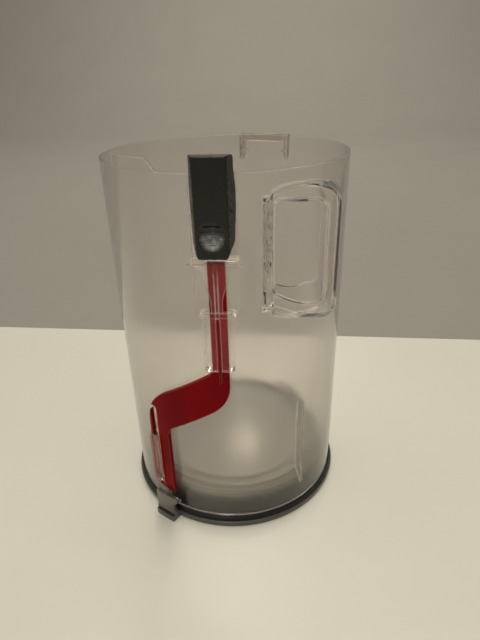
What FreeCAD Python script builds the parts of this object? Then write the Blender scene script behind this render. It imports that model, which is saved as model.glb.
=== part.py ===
"""Clear dust bin of a bagless cylinder vacuum cleaner, with its rod-opened base flap.

Millimetres. The origin is on the bin's axis at the plane it stands on, +Z is up, and the
thumb catch faces -Y. An azimuth is counted from -Y towards +X, about +Z. A piece is drawn
facing -Y and then turned to its azimuth. Pieces that lie on the round wall are drawn flat,
as (distance along the rod's outer face, height), and wrapped round the axis.
"""
import FreeCAD, Part
import math
import os
from FreeCAD import Base, Vector

# ---- bin tube ----------------------------------------------------------------------------
TUBE_R = 76.0            # outside radius at the mouth
TUBE_DRAFT = 0.8         # the foot is this much smaller in radius
TUBE_WALL = 2.0
TUBE_FOOT_Z = 8.0
TUBE_DRAFT_TOP_Z = 233.0   # from here to the rim the mouth is a true cylinder
TUBE_RIM_Z = 240.0
MOUTH_R = TUBE_R - TUBE_WALL
EMBED = 1.0              # how far pieces on the wall are drawn into it, before they are trimmed

TAB_TOP_Z = 246.5        # raised keying tab on the rim
TAB_LEFT_AZ = -48.0
TAB_TOP_RIGHT_AZ = -27.0
TAB_FOOT_RIGHT_AZ = -22.4
TAB_INSET = 0.6          # the tab starts this far outside the mouth's bore
TAB_LEFT_RADIUS = 1.0
TAB_RIGHT_RADIUS = 2.0

FIN_AZ = 42.5            # anti-swirl fin inside the wall
FIN_THICK = 1.6
FIN_DEPTH = 6.0
FIN_FOOT_Z = 20.0
FIN_HEEL_Z = 34.0
FIN_TOP_Z = 88.0

LEDGE_R = 77.0           # ledge that the base catch snaps over
LEDGE_Z = (11.0, 13.0)

# ---- inlet -------------------------------------------------------------------------------
INLET_Y = -61.0          # flat outer face, square to -Y
INLET_WALL = 2.0
INLET_LEFT_X = 28.4
INLET_RIGHT_X = 65.6
INLET_LOW_Z = 155.2
INLET_HIGH_Z = 232.6
MOUTH_LEFT_X = 31.0
MOUTH_RIGHT_X = 57.6
MOUTH_LOW_Z = 164.6
MOUTH_HIGH_Z = 222.6
INLET_SPLAY = 0.43       # the recess widens at its left by this much per millimetre of depth
SPLAY_Z = (163.6, 227.6)
RECESS_FRONT_Y = -80.0
INLET_BACK_Y = -30.0
SLEEVE_R = 58.0          # the sleeve behind the mouth ends on this cylinder
SLEEVE_WALL = 1.6
INLET_LIP = 0.7          # the housing's side walls end this far inside the wall
INLET_LOW_CORNERS = ((0.0, 5.4, 3.0), (9.0, 2.2, 30.0), (17.5, 0.0, 30.0))     # along, up, radius
INLET_HIGH_CORNERS = ((22.0, 0.0, 22.0), (9.0, 0.0, 22.0), (0.0, 2.9, 2.0))    # along, down, radius
INLET_RIGHT_RADII = (9.0, 10.0)
INLET_RIGHT_DROP = 4.2
MOUTH_LOW_CORNERS = ((0.0, 6.8, 2.0), (8.0, 2.4, 14.0), (16.0, 0.0, 14.0))
MOUTH_RIGHT_RISE = 0.4
MOUTH_RIGHT_RADIUS = 4.5
MOUTH_LEFT_RADIUS = 3.0
BEAD_PROUD = 1.2
BEAD_WIDE = 1.6

# ---- rear hook bracket -------------------------------------------------------------------
HOOK_AZ = 163.0
HOOK_HALF = 18.8
HOOK_R = 83.5
HOOK_Z = (222.0, 240.0)
HOOK_CHEEK = 2.4
HOOK_BRIDGE_Z = 234.6
HOOK_BRIDGE_THICK = 2.0
HOOK_HEEL = (2.0, 5.0)   # slope at the foot of each cheek
HOOK_CORNER = 2.0
HOOK_EDGE = 0.6
PEG_R = 1.3
PEG_LENGTH = 3.0
PEG_IN = 3.0
PEG_UP = 6.0

# ---- push rod ----------------------------------------------------------------------------
ROD_R_IN = 77.2
ROD_R_OUT = 80.2
ROD_TOP_Z = 232.0
ROD_FOOT_Z = 22.3
ROD_UPPER = (-4.4, 5.2)          # sides of the upper strip, as distances round the wall
ROD_LOWER = (-54.4, -38.8)       # sides of the lower strip
BEND_RIGHT_Z = 106.8             # height where the lower edge of the bend meets the upper strip
BEND_LEFT_Z = 97.6               # height where the upper edge of the bend meets the lower strip
BEND_IN_RIGHT_Z = 127.6
BEND_IN_LEFT_Z = 78.9
ROD_SLOT = (-52.9, -46.9)
ROD_SLOT_Z = (24.6, 94.0)
ROD_TIP_R = 78.2                 # the tip is bevelled down to this radius
ROD_BEVEL_Z = 7.0
RIB_HALF = 0.7
RIB_R = 81.9
RIB_Z = (122.0, 196.0)
ROD_FOOT_RADIUS = 2.0
ROD_TOP_RADIUS = 1.5
BEND_RADII = (10.0, 22.0, 8.0, 30.0)     # from the lower strip's right side, anticlockwise
SLOT_RADIUS = 2.6
WINDOW_RADIUS = 0.8
WINDOW_HALF = 2.4
WINDOW_Z = (202.9, 228.0)

# ---- springs -----------------------------------------------------------------------------
ROD_SPRING_WIRE = 0.5
ROD_SPRING_MEAN_R = 1.35
ROD_SPRING_Y = -79.1
ROD_SPRING_TURNS = 9
CATCH_SPRING_WIRE = 0.6
CATCH_SPRING_MEAN_R = 1.95
CATCH_SPRING_HALF = 1.8
CATCH_SPRING_TURNS = 5
CATCH_SPRING_UP = 11.0
CATCH_SPRING_DOWN = 10.0

# ---- catch, its mount and pin ------------------------------------------------------------
PIVOT_Y = -83.6
PIVOT_Z = 223.6
PIN_R = 1.25
PIN_HALF = 9.2
RUNNING_GAP = 0.05
PLATE_R = 77.0
PLATE_HALF = 13.0
PLATE_Z = (165.0, 237.0)
LUG_IN = 5.6
LUG_OUT = 6.8
LUG_NOSE = 1.9
LUG_CORNERS = ((5.6, -10.6, 0.0), (0.6, -3.0, 1.0), (-LUG_NOSE, -1.4, 1.2), (-LUG_NOSE, 2.0, 1.2))
LUG_TOP = (1.4, 0.8, 2.0)
PLATE_RADIUS = 3.0
SEAT_Z = (203.2, 206.0)
SEAT_HALF = 1.6
SEAT_Y = -80.7
BAR_Y = (-81.3, -80.1)
BAR_Z = (233.0, 235.2)

CATCH_FRONT_Y = -88.3
CATCH_BACK_Y = -77.6
CATCH_FRONT_HALF = 8.25
CATCH_BACK_HALF = 11.4
CATCH_TOP_HALF = 10.6
CATCH_FOOT_HALF = 7.0
CATCH_Z = (200.0, 250.0)
CATCH_WALL = 1.6
CATCH_CORNER = 1.7
CATCH_TOE_RADIUS = 2.0
CATCH_FOOT_RISE = 9.0
CATCH_FOOT_RADIUS = 8.0
CATCH_SHOULDER_Z = (233.0, 244.0)
CATCH_SHOULDER_RADIUS = 12.0
CATCH_EDGE = 0.6
CATCH_TOP_SLOPE = (4.5, 3.2)     # back and down, at the rear of the top
CATCH_BLOCK_Z = 220.4            # below this the front is a solid thumb block
CATCH_BLOCK_BACK_Y = -84.2
CATCH_HEEL_BACK_Y = -81.2        # the back edge at the foot, clear of the wall when pressed
SCOOP_R = 7.4
SCOOP_DEPTH = 2.5
SCOOP_Z = 212.1
SCOOP_RIBS = 5
SCOOP_RIB_PITCH = 2.6
SCOOP_RIB_THICK = 0.8
SCOOP_RIB_RISE = 0.8             # height of the ribs off the hollow
SCOOP_RIB_SUNK = 0.45            # their crests lie this far behind the catch's front
SIDE_SLOT_Y = (-85.4, -84.3)
SIDE_SLOT_Z = (212.0, 217.2)
NOSE_Y = (-78.0, -74.6)          # hook nose over the rim, in two halves
NOSE_X = (5.0, 8.6)
NOSE_Z = (241.6, 246.4)
NOSE_ROOT = (4.0, 9.0)
NOSE_ROOT_RISE = 3.0
NOSE_EDGE = 0.8

# ---- rod guides --------------------------------------------------------------------------
GUIDE_X = (-8.2, 8.6)
GUIDE_CHANNEL = (-5.0, 5.8)
GUIDE_FRONT_R = (80.6, 82.4)
GUIDE_Z = (130.5, 168.0)
GUIDE_SLIT_HALF = 1.1
GUIDE_SLIT_TOP_Z = 164.4
CROSSBAR_HALF = 10.3
CROSSBAR_LOW_Z = 165.0
CROSSBAR_R = 83.0
WEB_TOP_Z = 198.8
WEB_TOP_HALF = 9.75
WEB_WAIST_HALF = 3.2
WEB_WAIST_Z = 176.0
WEB_THICK = 1.7
WEB_FLARE = 3.4
WEB_BEND_Z = 184.0
WEB_BEND_RADIUS = 24.0
WEB_WAIST_RADIUS = 18.0
WEB_FOOT_RADIUS = 6.0
WEB_EDGE = 0.6
FOOT_X = 12.6
FOOT_LOW_Z = 195.6
FOOT_FRONT_Y = -84.0

RAIL = (-52.3, -47.5)
RAIL_Z = (31.0, 70.0)
RAIL_HEAD = (-54.6, -46.4)
RAIL_HEAD_R = (80.6, 81.8)
WEDGE_LEFT = -58.6
WEDGE_Z = (65.0, 75.0)
WEDGE_R = 79.0
RAIL_PAD_R = 76.8

# ---- base flap, its seal, catch tongue and hinge -----------------------------------------
LATCH_AZ = -32.7
HINGE_AZ = LATCH_AZ + 180.0
FLAP_R = 77.7
FLAP_FLANGE_Z = 4.0
CONE_FOOT_R = 71.2
CONE_TOP_R = 64.2
CONE_TOP_Z = 27.0
DISH_R = 52.0
FLOOR_Z = 22.0
FLAP_WALL = 2.0
SEAL_THICK = 1.2
SEAL_LIP_R = 76.5
SEAL_LIP_TOP_Z = 7.7
SEAL_BEAD_Z = 29.2
SEAL_BEAD_IN_R = 61.2

TONGUE_HALF = 7.9
TONGUE_R = (80.9, 83.2)
TONGUE_TOP_Z = 21.5
TONGUE_PIVOT_R = 82.05
TONGUE_PIVOT_Z = 6.1
TONGUE_EAR = 3.4
TONGUE_EAR_Z = 17.2
TONGUE_NOSE_R = 77.3
TONGUE_NOSE_Z = (13.4, 14.6, 19.0)
FOOT_R = 84.6
FOOT_Z = 4.5

HINGE_R = 82.0
HINGE_Z = 12.5
KNUCKLE_R = 4.0
KNUCKLE_HALF = 5.7
BRACKET_X = (6.0, 9.5)
BRACKET_PLATE_R = 77.6
BRACKET_Z = (8.6, 24.0)
HINGE_PIN_R = 1.5
HINGE_PIN_HEAD_R = 2.6
HINGE_PIN_HEAD = 1.0

UP = Vector(0, 0, 1)
ORIGIN = Vector(0, 0, 0)
BIG = 400.0
ARC_POINTS = 9


# ---- drawing helpers ---------------------------------------------------------------------
def rounded(points):
    """Turn (a, b, radius) corners into a closed run of straight and round stretches.

    Each stretch is a list of points: two for a straight one, three for an arc.
    """
    count = len(points)
    corners = []
    for i, (a, b, radius) in enumerate(points):
        here = Vector(a, b, 0)
        before = Vector(points[i - 1][0], points[i - 1][1], 0) - here
        after = Vector(points[(i + 1) % count][0], points[(i + 1) % count][1], 0) - here
        before.normalize()
        after.normalize()
        half = before.getAngle(after) / 2
        if radius == 0:
            corners.append((here, here, here))
            continue
        reach = radius / math.tan(half)
        middle = before + after
        middle.normalize()
        top = here + middle * (radius / math.sin(half) - radius)
        corners.append((here + before * reach, top, here + after * reach))
    stretches = []
    for i, (start, top, end) in enumerate(corners):
        if start.distanceToPoint(end) > 1e-6:
            stretches.append([start, top, end])
        following = corners[(i + 1) % count][0]
        if end.distanceToPoint(following) > 1e-6:
            stretches.append([end, following])
    return stretches


def flat_face(points, place):
    """A face from rounded corners, with place(a, b) giving the point in space."""
    edges = []
    for stretch in rounded(points):
        spots = [place(p.x, p.y) for p in stretch]
        if len(spots) == 2:
            edges.append(Part.makeLine(*spots))
        else:
            edges.append(Part.Arc(*spots).toShape())
    return Part.Face(Part.Wire(edges))


def prism_y(points, y_from, y_to):
    """Outline in (x, z), pulled from y_from to y_to."""
    face = flat_face(points, lambda a, b: Vector(a, y_from, b))
    return face.extrude(Vector(0, y_to - y_from, 0))


def prism_x(points, x_from, x_to):
    """Outline in (y, z), pulled from x_from to x_to."""
    face = flat_face(points, lambda a, b: Vector(x_from, a, b))
    return face.extrude(Vector(x_to - x_from, 0, 0))


def prism_z(points, z_from, z_to):
    """Outline in (x, y), pulled from z_from to z_to."""
    face = flat_face(points, lambda a, b: Vector(a, b, z_from))
    return face.extrude(Vector(0, 0, z_to - z_from))


def revolved(points):
    """Outline in (radius, z), turned once about the bin's axis."""
    face = flat_face(points, lambda a, b: Vector(a, 0, b))
    return face.revolve(ORIGIN, UP, 360)


def block(x, y, z):
    """Box between two values on each axis."""
    return Part.makeBox(x[1] - x[0], y[1] - y[0], z[1] - z[0], Vector(x[0], y[0], z[0]))


def box_points(a, b, radius=0.0):
    """Corners of a rectangle, all with one radius."""
    return [(a[0], b[0], radius), (a[1], b[0], radius), (a[1], b[1], radius), (a[0], b[1], radius)]


def wrapped(points, r_in, r_out):
    """Outline in (distance round the rod's outer face, z), as a curved slab from r_in to r_out."""
    surface = Part.Cylinder()
    surface.Radius = r_in

    def spot(p):
        return Base.Vector2d(p.x / ROD_R_OUT - math.pi / 2, p.y)

    edges = []
    for stretch in rounded(points):
        if len(stretch) == 2:
            curve = Part.Geom2d.Line2dSegment(spot(stretch[0]), spot(stretch[1]))
        else:
            arc = Part.Arc(*stretch).toShape()
            curve = Part.Geom2d.BSplineCurve2d()
            curve.interpolate([spot(p) for p in arc.discretize(ARC_POINTS)])
        edges.append(curve.toShape(surface))
    for edge in edges:
        edge.fixTolerance(1e-5)
    face = Part.Face(surface, Part.Wire(edges))
    return face.makeOffsetShape(r_out - r_in, 1e-4, fill=True)


def turned(shape, azimuth):
    """The shape, turned about the bin's axis."""
    copy = shape.copy()
    copy.rotate(ORIGIN, UP, azimuth)
    return copy


def rod_x(radius, x_from, x_to, y, z):
    """Round bar along X."""
    return Part.makeCylinder(radius, x_to - x_from, Vector(x_from, y, z), Vector(1, 0, 0))


def coil(radius, wire, height, turns):
    """Round-wire coil about +Z, from the origin upwards."""
    path = Part.makeHelix((height - wire) / turns, height - wire, radius)
    profile = Part.Wire([Part.makeCircle(wire / 2, Vector(radius, 0, 0), Vector(0, 1, 0))])
    shape = Part.Wire(path).makePipeShell([profile], True, True)
    shape.translate(Vector(0, 0, wire / 2))
    return shape


def tube_outside():
    """Everything inside the tube's outer face, as a solid."""
    foot = TUBE_R - TUBE_DRAFT
    return revolved([(0, TUBE_FOOT_Z, 0), (foot, TUBE_FOOT_Z, 0), (TUBE_R, TUBE_DRAFT_TOP_Z, 0),
                     (TUBE_R, TUBE_RIM_Z, 0), (0, TUBE_RIM_Z, 0)])


def cylinder(radius, z_from=0.0, z_to=BIG):
    """Solid cylinder about the bin's axis."""
    return Part.makeCylinder(radius, z_to - z_from, Vector(0, 0, z_from))


# ---- bin tube ----------------------------------------------------------------------------
def rim_tab():
    """Raised tab on the rim, upright at its left and sloped at its right."""
    per_degree = math.radians(1) * ROD_R_OUT
    left = TAB_LEFT_AZ * per_degree
    right_top = TAB_TOP_RIGHT_AZ * per_degree
    right_foot = TAB_FOOT_RIGHT_AZ * per_degree
    low = TUBE_RIM_Z - TUBE_WALL
    outline = [(left, low, 0), (right_foot, low, 0), (right_foot, TUBE_RIM_Z, 0),
               (right_top, TAB_TOP_Z, TAB_RIGHT_RADIUS), (left, TAB_TOP_Z, TAB_LEFT_RADIUS)]
    return wrapped(outline, MOUTH_R + TAB_INSET, TUBE_R)


def swirl_fin():
    """Thin upright fin inside the wall, with a sloped foot."""
    wall = TUBE_R - TUBE_WALL - TUBE_DRAFT / 2
    tip = wall - FIN_DEPTH
    outline = [(-wall - TUBE_WALL / 2, FIN_FOOT_Z, 0), (-wall + 0.4, FIN_FOOT_Z, 0), (-tip, FIN_HEEL_Z, 3),
               (-tip, FIN_TOP_Z, 2), (-wall - TUBE_WALL / 2, FIN_TOP_Z, 0)]
    fin = prism_x(outline, -FIN_THICK / 2, FIN_THICK / 2)
    return turned(fin, FIN_AZ)


def latch_ledge():
    """Ledge on the outside of the wall, for the base catch."""
    half = TONGUE_HALF - 1
    ledge = block((-half, half), (-LEDGE_R, -TUBE_R + TUBE_WALL), LEDGE_Z)
    ledge = ledge.common(cylinder(LEDGE_R)).cut(cylinder(TUBE_R - TUBE_WALL))
    return turned(ledge, LATCH_AZ)


def bin_tube():
    """Clear round wall with its rim tab, fin and ledge, cut away for the inlet."""
    foot_out = TUBE_R - TUBE_DRAFT
    foot_in = foot_out - TUBE_WALL
    wall = revolved([(foot_in, TUBE_FOOT_Z, 0), (foot_out, TUBE_FOOT_Z, 0), (TUBE_R, TUBE_DRAFT_TOP_Z, 0),
                     (TUBE_R, TUBE_RIM_Z, 0), (MOUTH_R, TUBE_RIM_Z, 0), (MOUTH_R, TUBE_DRAFT_TOP_Z, 0)])
    wall = wall.fuse([rim_tab(), swirl_fin(), latch_ledge()]).removeSplitter()
    return wall.cut(inlet_outer())


# ---- inlet -------------------------------------------------------------------------------
def inlet_outline(grow=0.0):
    """Arched outline of the inlet housing, shrunk or grown."""
    x0 = INLET_LEFT_X - grow
    x1 = INLET_RIGHT_X + grow
    low = INLET_LOW_Z - grow
    high = INLET_HIGH_Z + grow
    low_radius, high_radius = INLET_RIGHT_RADII
    outline = [(x0 + a, low + b, radius if a else radius + grow) for a, b, radius in INLET_LOW_CORNERS]
    outline += [(x1, low, low_radius + grow), (x1, high - INLET_RIGHT_DROP, high_radius + grow)]
    outline += [(x0 + a, high - b, radius if a else radius + grow) for a, b, radius in INLET_HIGH_CORNERS]
    return outline


def mouth_outline(grow=0.0):
    """Outline of the inlet's mouth, its lower edge bowed."""
    x0 = MOUTH_LEFT_X - grow
    x1 = MOUTH_RIGHT_X + grow
    low = MOUTH_LOW_Z - grow
    high = MOUTH_HIGH_Z + grow
    outline = [(x0 + a, low + b, radius if a else radius + grow) for a, b, radius in MOUTH_LOW_CORNERS]
    outline.append((x1, low + MOUTH_RIGHT_RISE, MOUTH_RIGHT_RADIUS + grow))
    outline.append((x1, high, MOUTH_RIGHT_RADIUS + grow))
    outline.append((x0, high, MOUTH_LEFT_RADIUS + grow))
    return outline


def recess(grow=0.0):
    """The hollow in front of the flat face, splayed at its left towards the outside."""
    x0 = INLET_LEFT_X - grow
    reach = (INLET_Y - RECESS_FRONT_Y) * INLET_SPLAY
    splay = prism_z([(x0, INLET_Y, 0), (x0 - reach, RECESS_FRONT_Y, 0), (x0 + reach, RECESS_FRONT_Y, 0),
                     (x0 + reach, INLET_Y, 0)], SPLAY_Z[0] - grow, SPLAY_Z[1] + grow)
    return prism_y(inlet_outline(grow), RECESS_FRONT_Y, INLET_Y).fuse(splay)


def inlet_outer():
    """Space that the inlet housing takes out of the wall."""
    return recess().fuse(prism_y(inlet_outline(), INLET_Y, INLET_BACK_Y)).removeSplitter()


def inlet_frame():
    """Recessed flat face with its mouth, the walls round it, a bead and a sleeve behind."""
    lining = recess().cut(recess(-INLET_WALL)).common(tube_outside())
    shell = prism_y(inlet_outline(), INLET_Y, INLET_BACK_Y)
    shell = shell.cut(prism_y(inlet_outline(-INLET_WALL), INLET_Y + INLET_WALL, INLET_BACK_Y))
    face_plate = block((-BIG, BIG), (INLET_Y, INLET_Y + INLET_WALL), (0, BIG))
    shell = shell.cut(cylinder(MOUTH_R - INLET_LIP).cut(face_plate))
    sleeve = prism_y(mouth_outline(SLEEVE_WALL), INLET_Y, INLET_BACK_Y)
    sleeve = sleeve.cut(cylinder(SLEEVE_R))
    bead = prism_y(mouth_outline(BEAD_WIDE), INLET_Y - BEAD_PROUD, INLET_Y)
    frame = shell.fuse([lining, sleeve, bead])
    frame = frame.cut(prism_y(mouth_outline(), RECESS_FRONT_Y, 0))
    return frame.removeSplitter()


# ---- rear hook bracket -------------------------------------------------------------------
def rear_hook_bracket():
    """Two upright cheeks and a bridge at the rim, where the machine's hook takes hold."""
    z0, z1 = HOOK_Z
    back, rise = HOOK_HEEL
    cheek_shape = [(-TUBE_R + EMBED, z0, 0), (-HOOK_R + back, z0, HOOK_CORNER),
                   (-HOOK_R, z0 + rise, HOOK_CORNER), (-HOOK_R, z1, HOOK_CORNER / 2),
                   (-TUBE_R + EMBED, z1, 0)]
    pieces = []
    for side in (-1, 1):
        outer = side * HOOK_HALF
        inner = side * (HOOK_HALF - HOOK_CHEEK)
        pieces.append(prism_x(cheek_shape, min(outer, inner), max(outer, inner)))
        tip = inner - side * PEG_LENGTH
        pieces.append(rod_x(PEG_R, min(inner, tip), max(inner, tip), -HOOK_R + PEG_IN, z0 + PEG_UP))
    section = box_points((-HOOK_R, -HOOK_R + HOOK_BRIDGE_THICK), (HOOK_BRIDGE_Z, z1), HOOK_EDGE)
    pieces.append(prism_x(section, -HOOK_HALF, HOOK_HALF))
    bracket = pieces[0].fuse(pieces[1:]).cut(cylinder(TUBE_R))
    return turned(bracket.removeSplitter(), HOOK_AZ)


# ---- catch mount -------------------------------------------------------------------------
def catch_mount():
    """Clear plate on the wall with two lugs for the catch's pin, a spring bar and a spring seat."""
    plate_outline = box_points((-PLATE_HALF, PLATE_HALF), PLATE_Z, PLATE_RADIUS)
    plate = wrapped(plate_outline, TUBE_R - TUBE_WALL, PLATE_R)
    low = PIVOT_Z + LUG_CORNERS[0][1]
    out, above_bar, top_radius = LUG_TOP
    high = BAR_Z[1] + above_bar
    lug_shape = [(-TUBE_R, low, 0)] + [(PIVOT_Y + a, PIVOT_Z + b, radius) for a, b, radius in LUG_CORNERS]
    lug_shape += [(PIVOT_Y + out, high, top_radius), (-TUBE_R, high, 0)]
    lugs = [prism_x(lug_shape, LUG_IN, LUG_OUT), prism_x(lug_shape, -LUG_OUT, -LUG_IN)]
    bar = block((-LUG_IN, LUG_IN), BAR_Y, BAR_Z)
    seat = block((-SEAT_HALF, SEAT_HALF), (SEAT_Y, -TUBE_R), SEAT_Z)
    mount = plate.fuse(lugs + [bar, seat]).cut(tube_outside())
    hole = rod_x(PIN_R, -LUG_OUT - 1, LUG_OUT + 1, PIVOT_Y, PIVOT_Z)
    return mount.cut(hole).removeSplitter()


def catch_pivot_pin():
    """Steel pin through the lugs and the catch's cheeks."""
    pin = rod_x(PIN_R, -PIN_HALF, PIN_HALF, PIVOT_Y, PIVOT_Z)
    return pin.makeChamfer(0.25, [e for e in pin.Edges if e.Closed])


def catch_spring():
    """Torsion spring on the pin, one leg up to the spring bar and one down behind the thumb block."""
    wire = CATCH_SPRING_WIRE
    height = 2 * CATCH_SPRING_HALF
    shape = coil(CATCH_SPRING_MEAN_R, wire, height, CATCH_SPRING_TURNS)
    leg_r = 0.9 * wire / 2
    legs = []
    for z, length, way in ((wire / 2, CATCH_SPRING_DOWN, -1), (height - wire / 2, CATCH_SPRING_UP, 1)):
        start = Vector(CATCH_SPRING_MEAN_R, -way * wire, z)
        legs.append(Part.makeCylinder(leg_r, length + wire, start, Vector(0, way, 0)))
    shape = shape.fuse(legs)
    shape.rotate(ORIGIN, Vector(1, 1, 1), 120)
    shape.translate(Vector(-CATCH_SPRING_HALF, PIVOT_Y, PIVOT_Z))
    return shape


# ---- thumb catch -------------------------------------------------------------------------
def catch_outer(inset=0.0):
    """Outer form of the catch, or the same form a wall's thickness further in."""
    z0, z1 = CATCH_Z
    front = CATCH_FRONT_Y + inset
    corner = CATCH_CORNER - inset
    plan = [(-CATCH_BACK_HALF + inset, CATCH_BACK_Y, 0), (-CATCH_FRONT_HALF + inset, front, corner),
            (CATCH_FRONT_HALF - inset, front, corner), (CATCH_BACK_HALF - inset, CATCH_BACK_Y, 0)]
    body = prism_z(plan, z0, z1)
    foot = CATCH_FOOT_HALF - inset
    wide = CATCH_BACK_HALF - inset
    top = CATCH_TOP_HALF - inset
    low = z0 + inset
    high = z1 - inset
    rise = low + CATCH_FOOT_RISE
    neck, shoulder = CATCH_SHOULDER_Z
    right = [(foot, low, CATCH_TOE_RADIUS), (wide, rise, CATCH_FOOT_RADIUS),
             (wide, neck, CATCH_SHOULDER_RADIUS), (top, shoulder, CATCH_SHOULDER_RADIUS),
             (top, high, CATCH_EDGE)]
    face = right + [(-a, b, radius) for a, b, radius in reversed(right)]
    return body.common(prism_y(face, front - 1, CATCH_BACK_Y + 1))


def catch_profile():
    """Side outline of the catch: sloped top, and a heel that clears the wall when pressed."""
    z0, z1 = CATCH_Z
    back, down = CATCH_TOP_SLOPE
    return [(CATCH_FRONT_Y, z0, 1.5), (CATCH_HEEL_BACK_Y, z0, 0.5), (CATCH_BACK_Y, PIVOT_Z, 2),
            (CATCH_BACK_Y, z1 - down, 1), (CATCH_BACK_Y - back, z1, 2), (CATCH_FRONT_Y, z1, CATCH_EDGE)]


def thumb_scoop():
    """Round hollow in the thumb block, less the grip ribs across it."""
    ball = (SCOOP_R ** 2 + SCOOP_DEPTH ** 2) / (2 * SCOOP_DEPTH)
    centre = Vector(0, CATCH_FRONT_Y - ball + SCOOP_DEPTH, SCOOP_Z)
    scoop = Part.makeSphere(ball, centre)
    crests = Part.makeSphere(ball - SCOOP_RIB_RISE, centre)
    for i in range(SCOOP_RIBS):
        z = SCOOP_Z + SCOOP_RIB_PITCH * (i + 1 - SCOOP_RIBS / 2)
        rib = block((-SCOOP_R, SCOOP_R), (CATCH_FRONT_Y + SCOOP_RIB_SUNK, CATCH_FRONT_Y + 2 * SCOOP_DEPTH),
                    (z - SCOOP_RIB_THICK / 2, z + SCOOP_RIB_THICK / 2))
        scoop = scoop.cut(rib.cut(crests))
    return scoop


def cyclone_catch():
    """Rocking catch: hollow behind, thumb scoop below, hook nose over the rim above."""
    profile = prism_x(catch_profile(), -BIG, BIG)
    body = catch_outer().common(profile)
    hollow = catch_outer(CATCH_WALL)
    thumb_block = block((-BIG, BIG), (CATCH_FRONT_Y, CATCH_BLOCK_BACK_Y), (0, CATCH_BLOCK_Z))
    body = body.cut(hollow.cut(thumb_block))
    back, tip = NOSE_Y
    low, high = NOSE_Z
    near, far = NOSE_ROOT
    root = high + NOSE_ROOT_RISE
    nose_shape = [(back, low + 1, 0), (tip, low, NOSE_EDGE), (tip, high - 2, NOSE_EDGE),
                  (back - near, root, 0), (back - far, root, 0), (back - far, high + 1, 0)]
    for side in (-1, 1):
        inner, outer = sorted((side * NOSE_X[0], side * NOSE_X[1]))
        reach = catch_outer().fuse(block((inner, outer), NOSE_Y, NOSE_Z))
        body = body.fuse(prism_x(nose_shape, inner, outer).common(reach))
    body = body.cut(rod_x(PIN_R + RUNNING_GAP, -BIG / 2, BIG / 2, PIVOT_Y, PIVOT_Z))
    body = body.cut(thumb_scoop())
    body = body.cut(block((CATCH_FRONT_HALF, CATCH_BACK_HALF + 1), SIDE_SLOT_Y, SIDE_SLOT_Z))
    rod_notch = block((-LUG_OUT, LUG_OUT), (CATCH_BLOCK_BACK_Y, 0), (0, CATCH_Z[0] + 2 * CATCH_WALL))
    return body.cut(rod_notch).removeSplitter()


# ---- push rod and its guides -------------------------------------------------------------
def rod_outline():
    """Upper strip, sloped bend and lower strip of the rod."""
    left, right = ROD_UPPER
    low_left, low_right = ROD_LOWER
    inner, outer, upper_in, upper_out = BEND_RADII
    return [(low_left, ROD_FOOT_Z, ROD_FOOT_RADIUS), (low_right, ROD_FOOT_Z, ROD_FOOT_RADIUS),
            (low_right, BEND_IN_LEFT_Z, inner), (right, BEND_RIGHT_Z, outer),
            (right, ROD_TOP_Z, ROD_TOP_RADIUS), (left, ROD_TOP_Z, ROD_TOP_RADIUS),
            (left, BEND_IN_RIGHT_Z, upper_in), (low_left, BEND_LEFT_Z, upper_out)]


def push_rod():
    """Red rod that a push at its top drives down on to the base catch."""
    rod = wrapped(rod_outline(), ROD_R_IN, ROD_R_OUT)
    rib = wrapped(box_points((-RIB_HALF, RIB_HALF), RIB_Z, 0.0), ROD_R_IN + 1, RIB_R)
    rod = rod.fuse(rib)
    slot = wrapped(box_points(ROD_SLOT, ROD_SLOT_Z, SLOT_RADIUS), ROD_R_IN - 1, ROD_R_OUT + 1)
    window_outline = box_points((-WINDOW_HALF, WINDOW_HALF), WINDOW_Z, WINDOW_RADIUS)
    window = wrapped(window_outline, ROD_R_IN - 1, ROD_R_OUT + 1)
    bevel = revolved([(ROD_TIP_R, ROD_FOOT_Z - 1, 0), (ROD_R_OUT + 2, ROD_FOOT_Z - 1, 0),
                      (ROD_R_OUT + 2, ROD_FOOT_Z + ROD_BEVEL_Z, 0), (ROD_R_OUT, ROD_FOOT_Z + ROD_BEVEL_Z, 0),
                      (ROD_TIP_R, ROD_FOOT_Z, 0)])
    return rod.cut(slot).cut(window).cut(bevel).removeSplitter()


def rod_return_spring():
    """Compression spring between the seat and the top of the rod's window."""
    shape = coil(ROD_SPRING_MEAN_R, ROD_SPRING_WIRE, WINDOW_Z[1] - SEAT_Z[1], ROD_SPRING_TURNS)
    shape.translate(Vector(0, ROD_SPRING_Y, SEAT_Z[1]))
    return shape


def guide_web():
    """Saddle-shaped web over the rod, waisted in front view and flared outwards at its top."""
    top, waist = WEB_TOP_HALF, WEB_WAIST_HALF
    low = GUIDE_Z[1] - 1
    foot = FOOT_LOW_Z + 1
    right = [(waist, low, 0), (waist, WEB_WAIST_Z, WEB_WAIST_RADIUS), (top, foot, WEB_FOOT_RADIUS),
             (FOOT_X, foot, 0), (FOOT_X, WEB_TOP_Z, WEB_EDGE)]
    face = right + [(-a, b, radius) for a, b, radius in reversed(right)]
    inner = -GUIDE_FRONT_R[0]
    outer = inner - WEB_THICK
    side = [(inner, low - 1, 0), (outer, low - 1, 0), (outer, WEB_BEND_Z, WEB_BEND_RADIUS),
            (outer - WEB_FLARE, WEB_TOP_Z, 0), (inner - WEB_FLARE + WEB_EDGE, WEB_TOP_Z, 0),
            (inner, WEB_BEND_Z, WEB_BEND_RADIUS)]
    return prism_y(face, -BIG / 2, 0).common(prism_x(side, -BIG / 2, BIG / 2))


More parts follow.
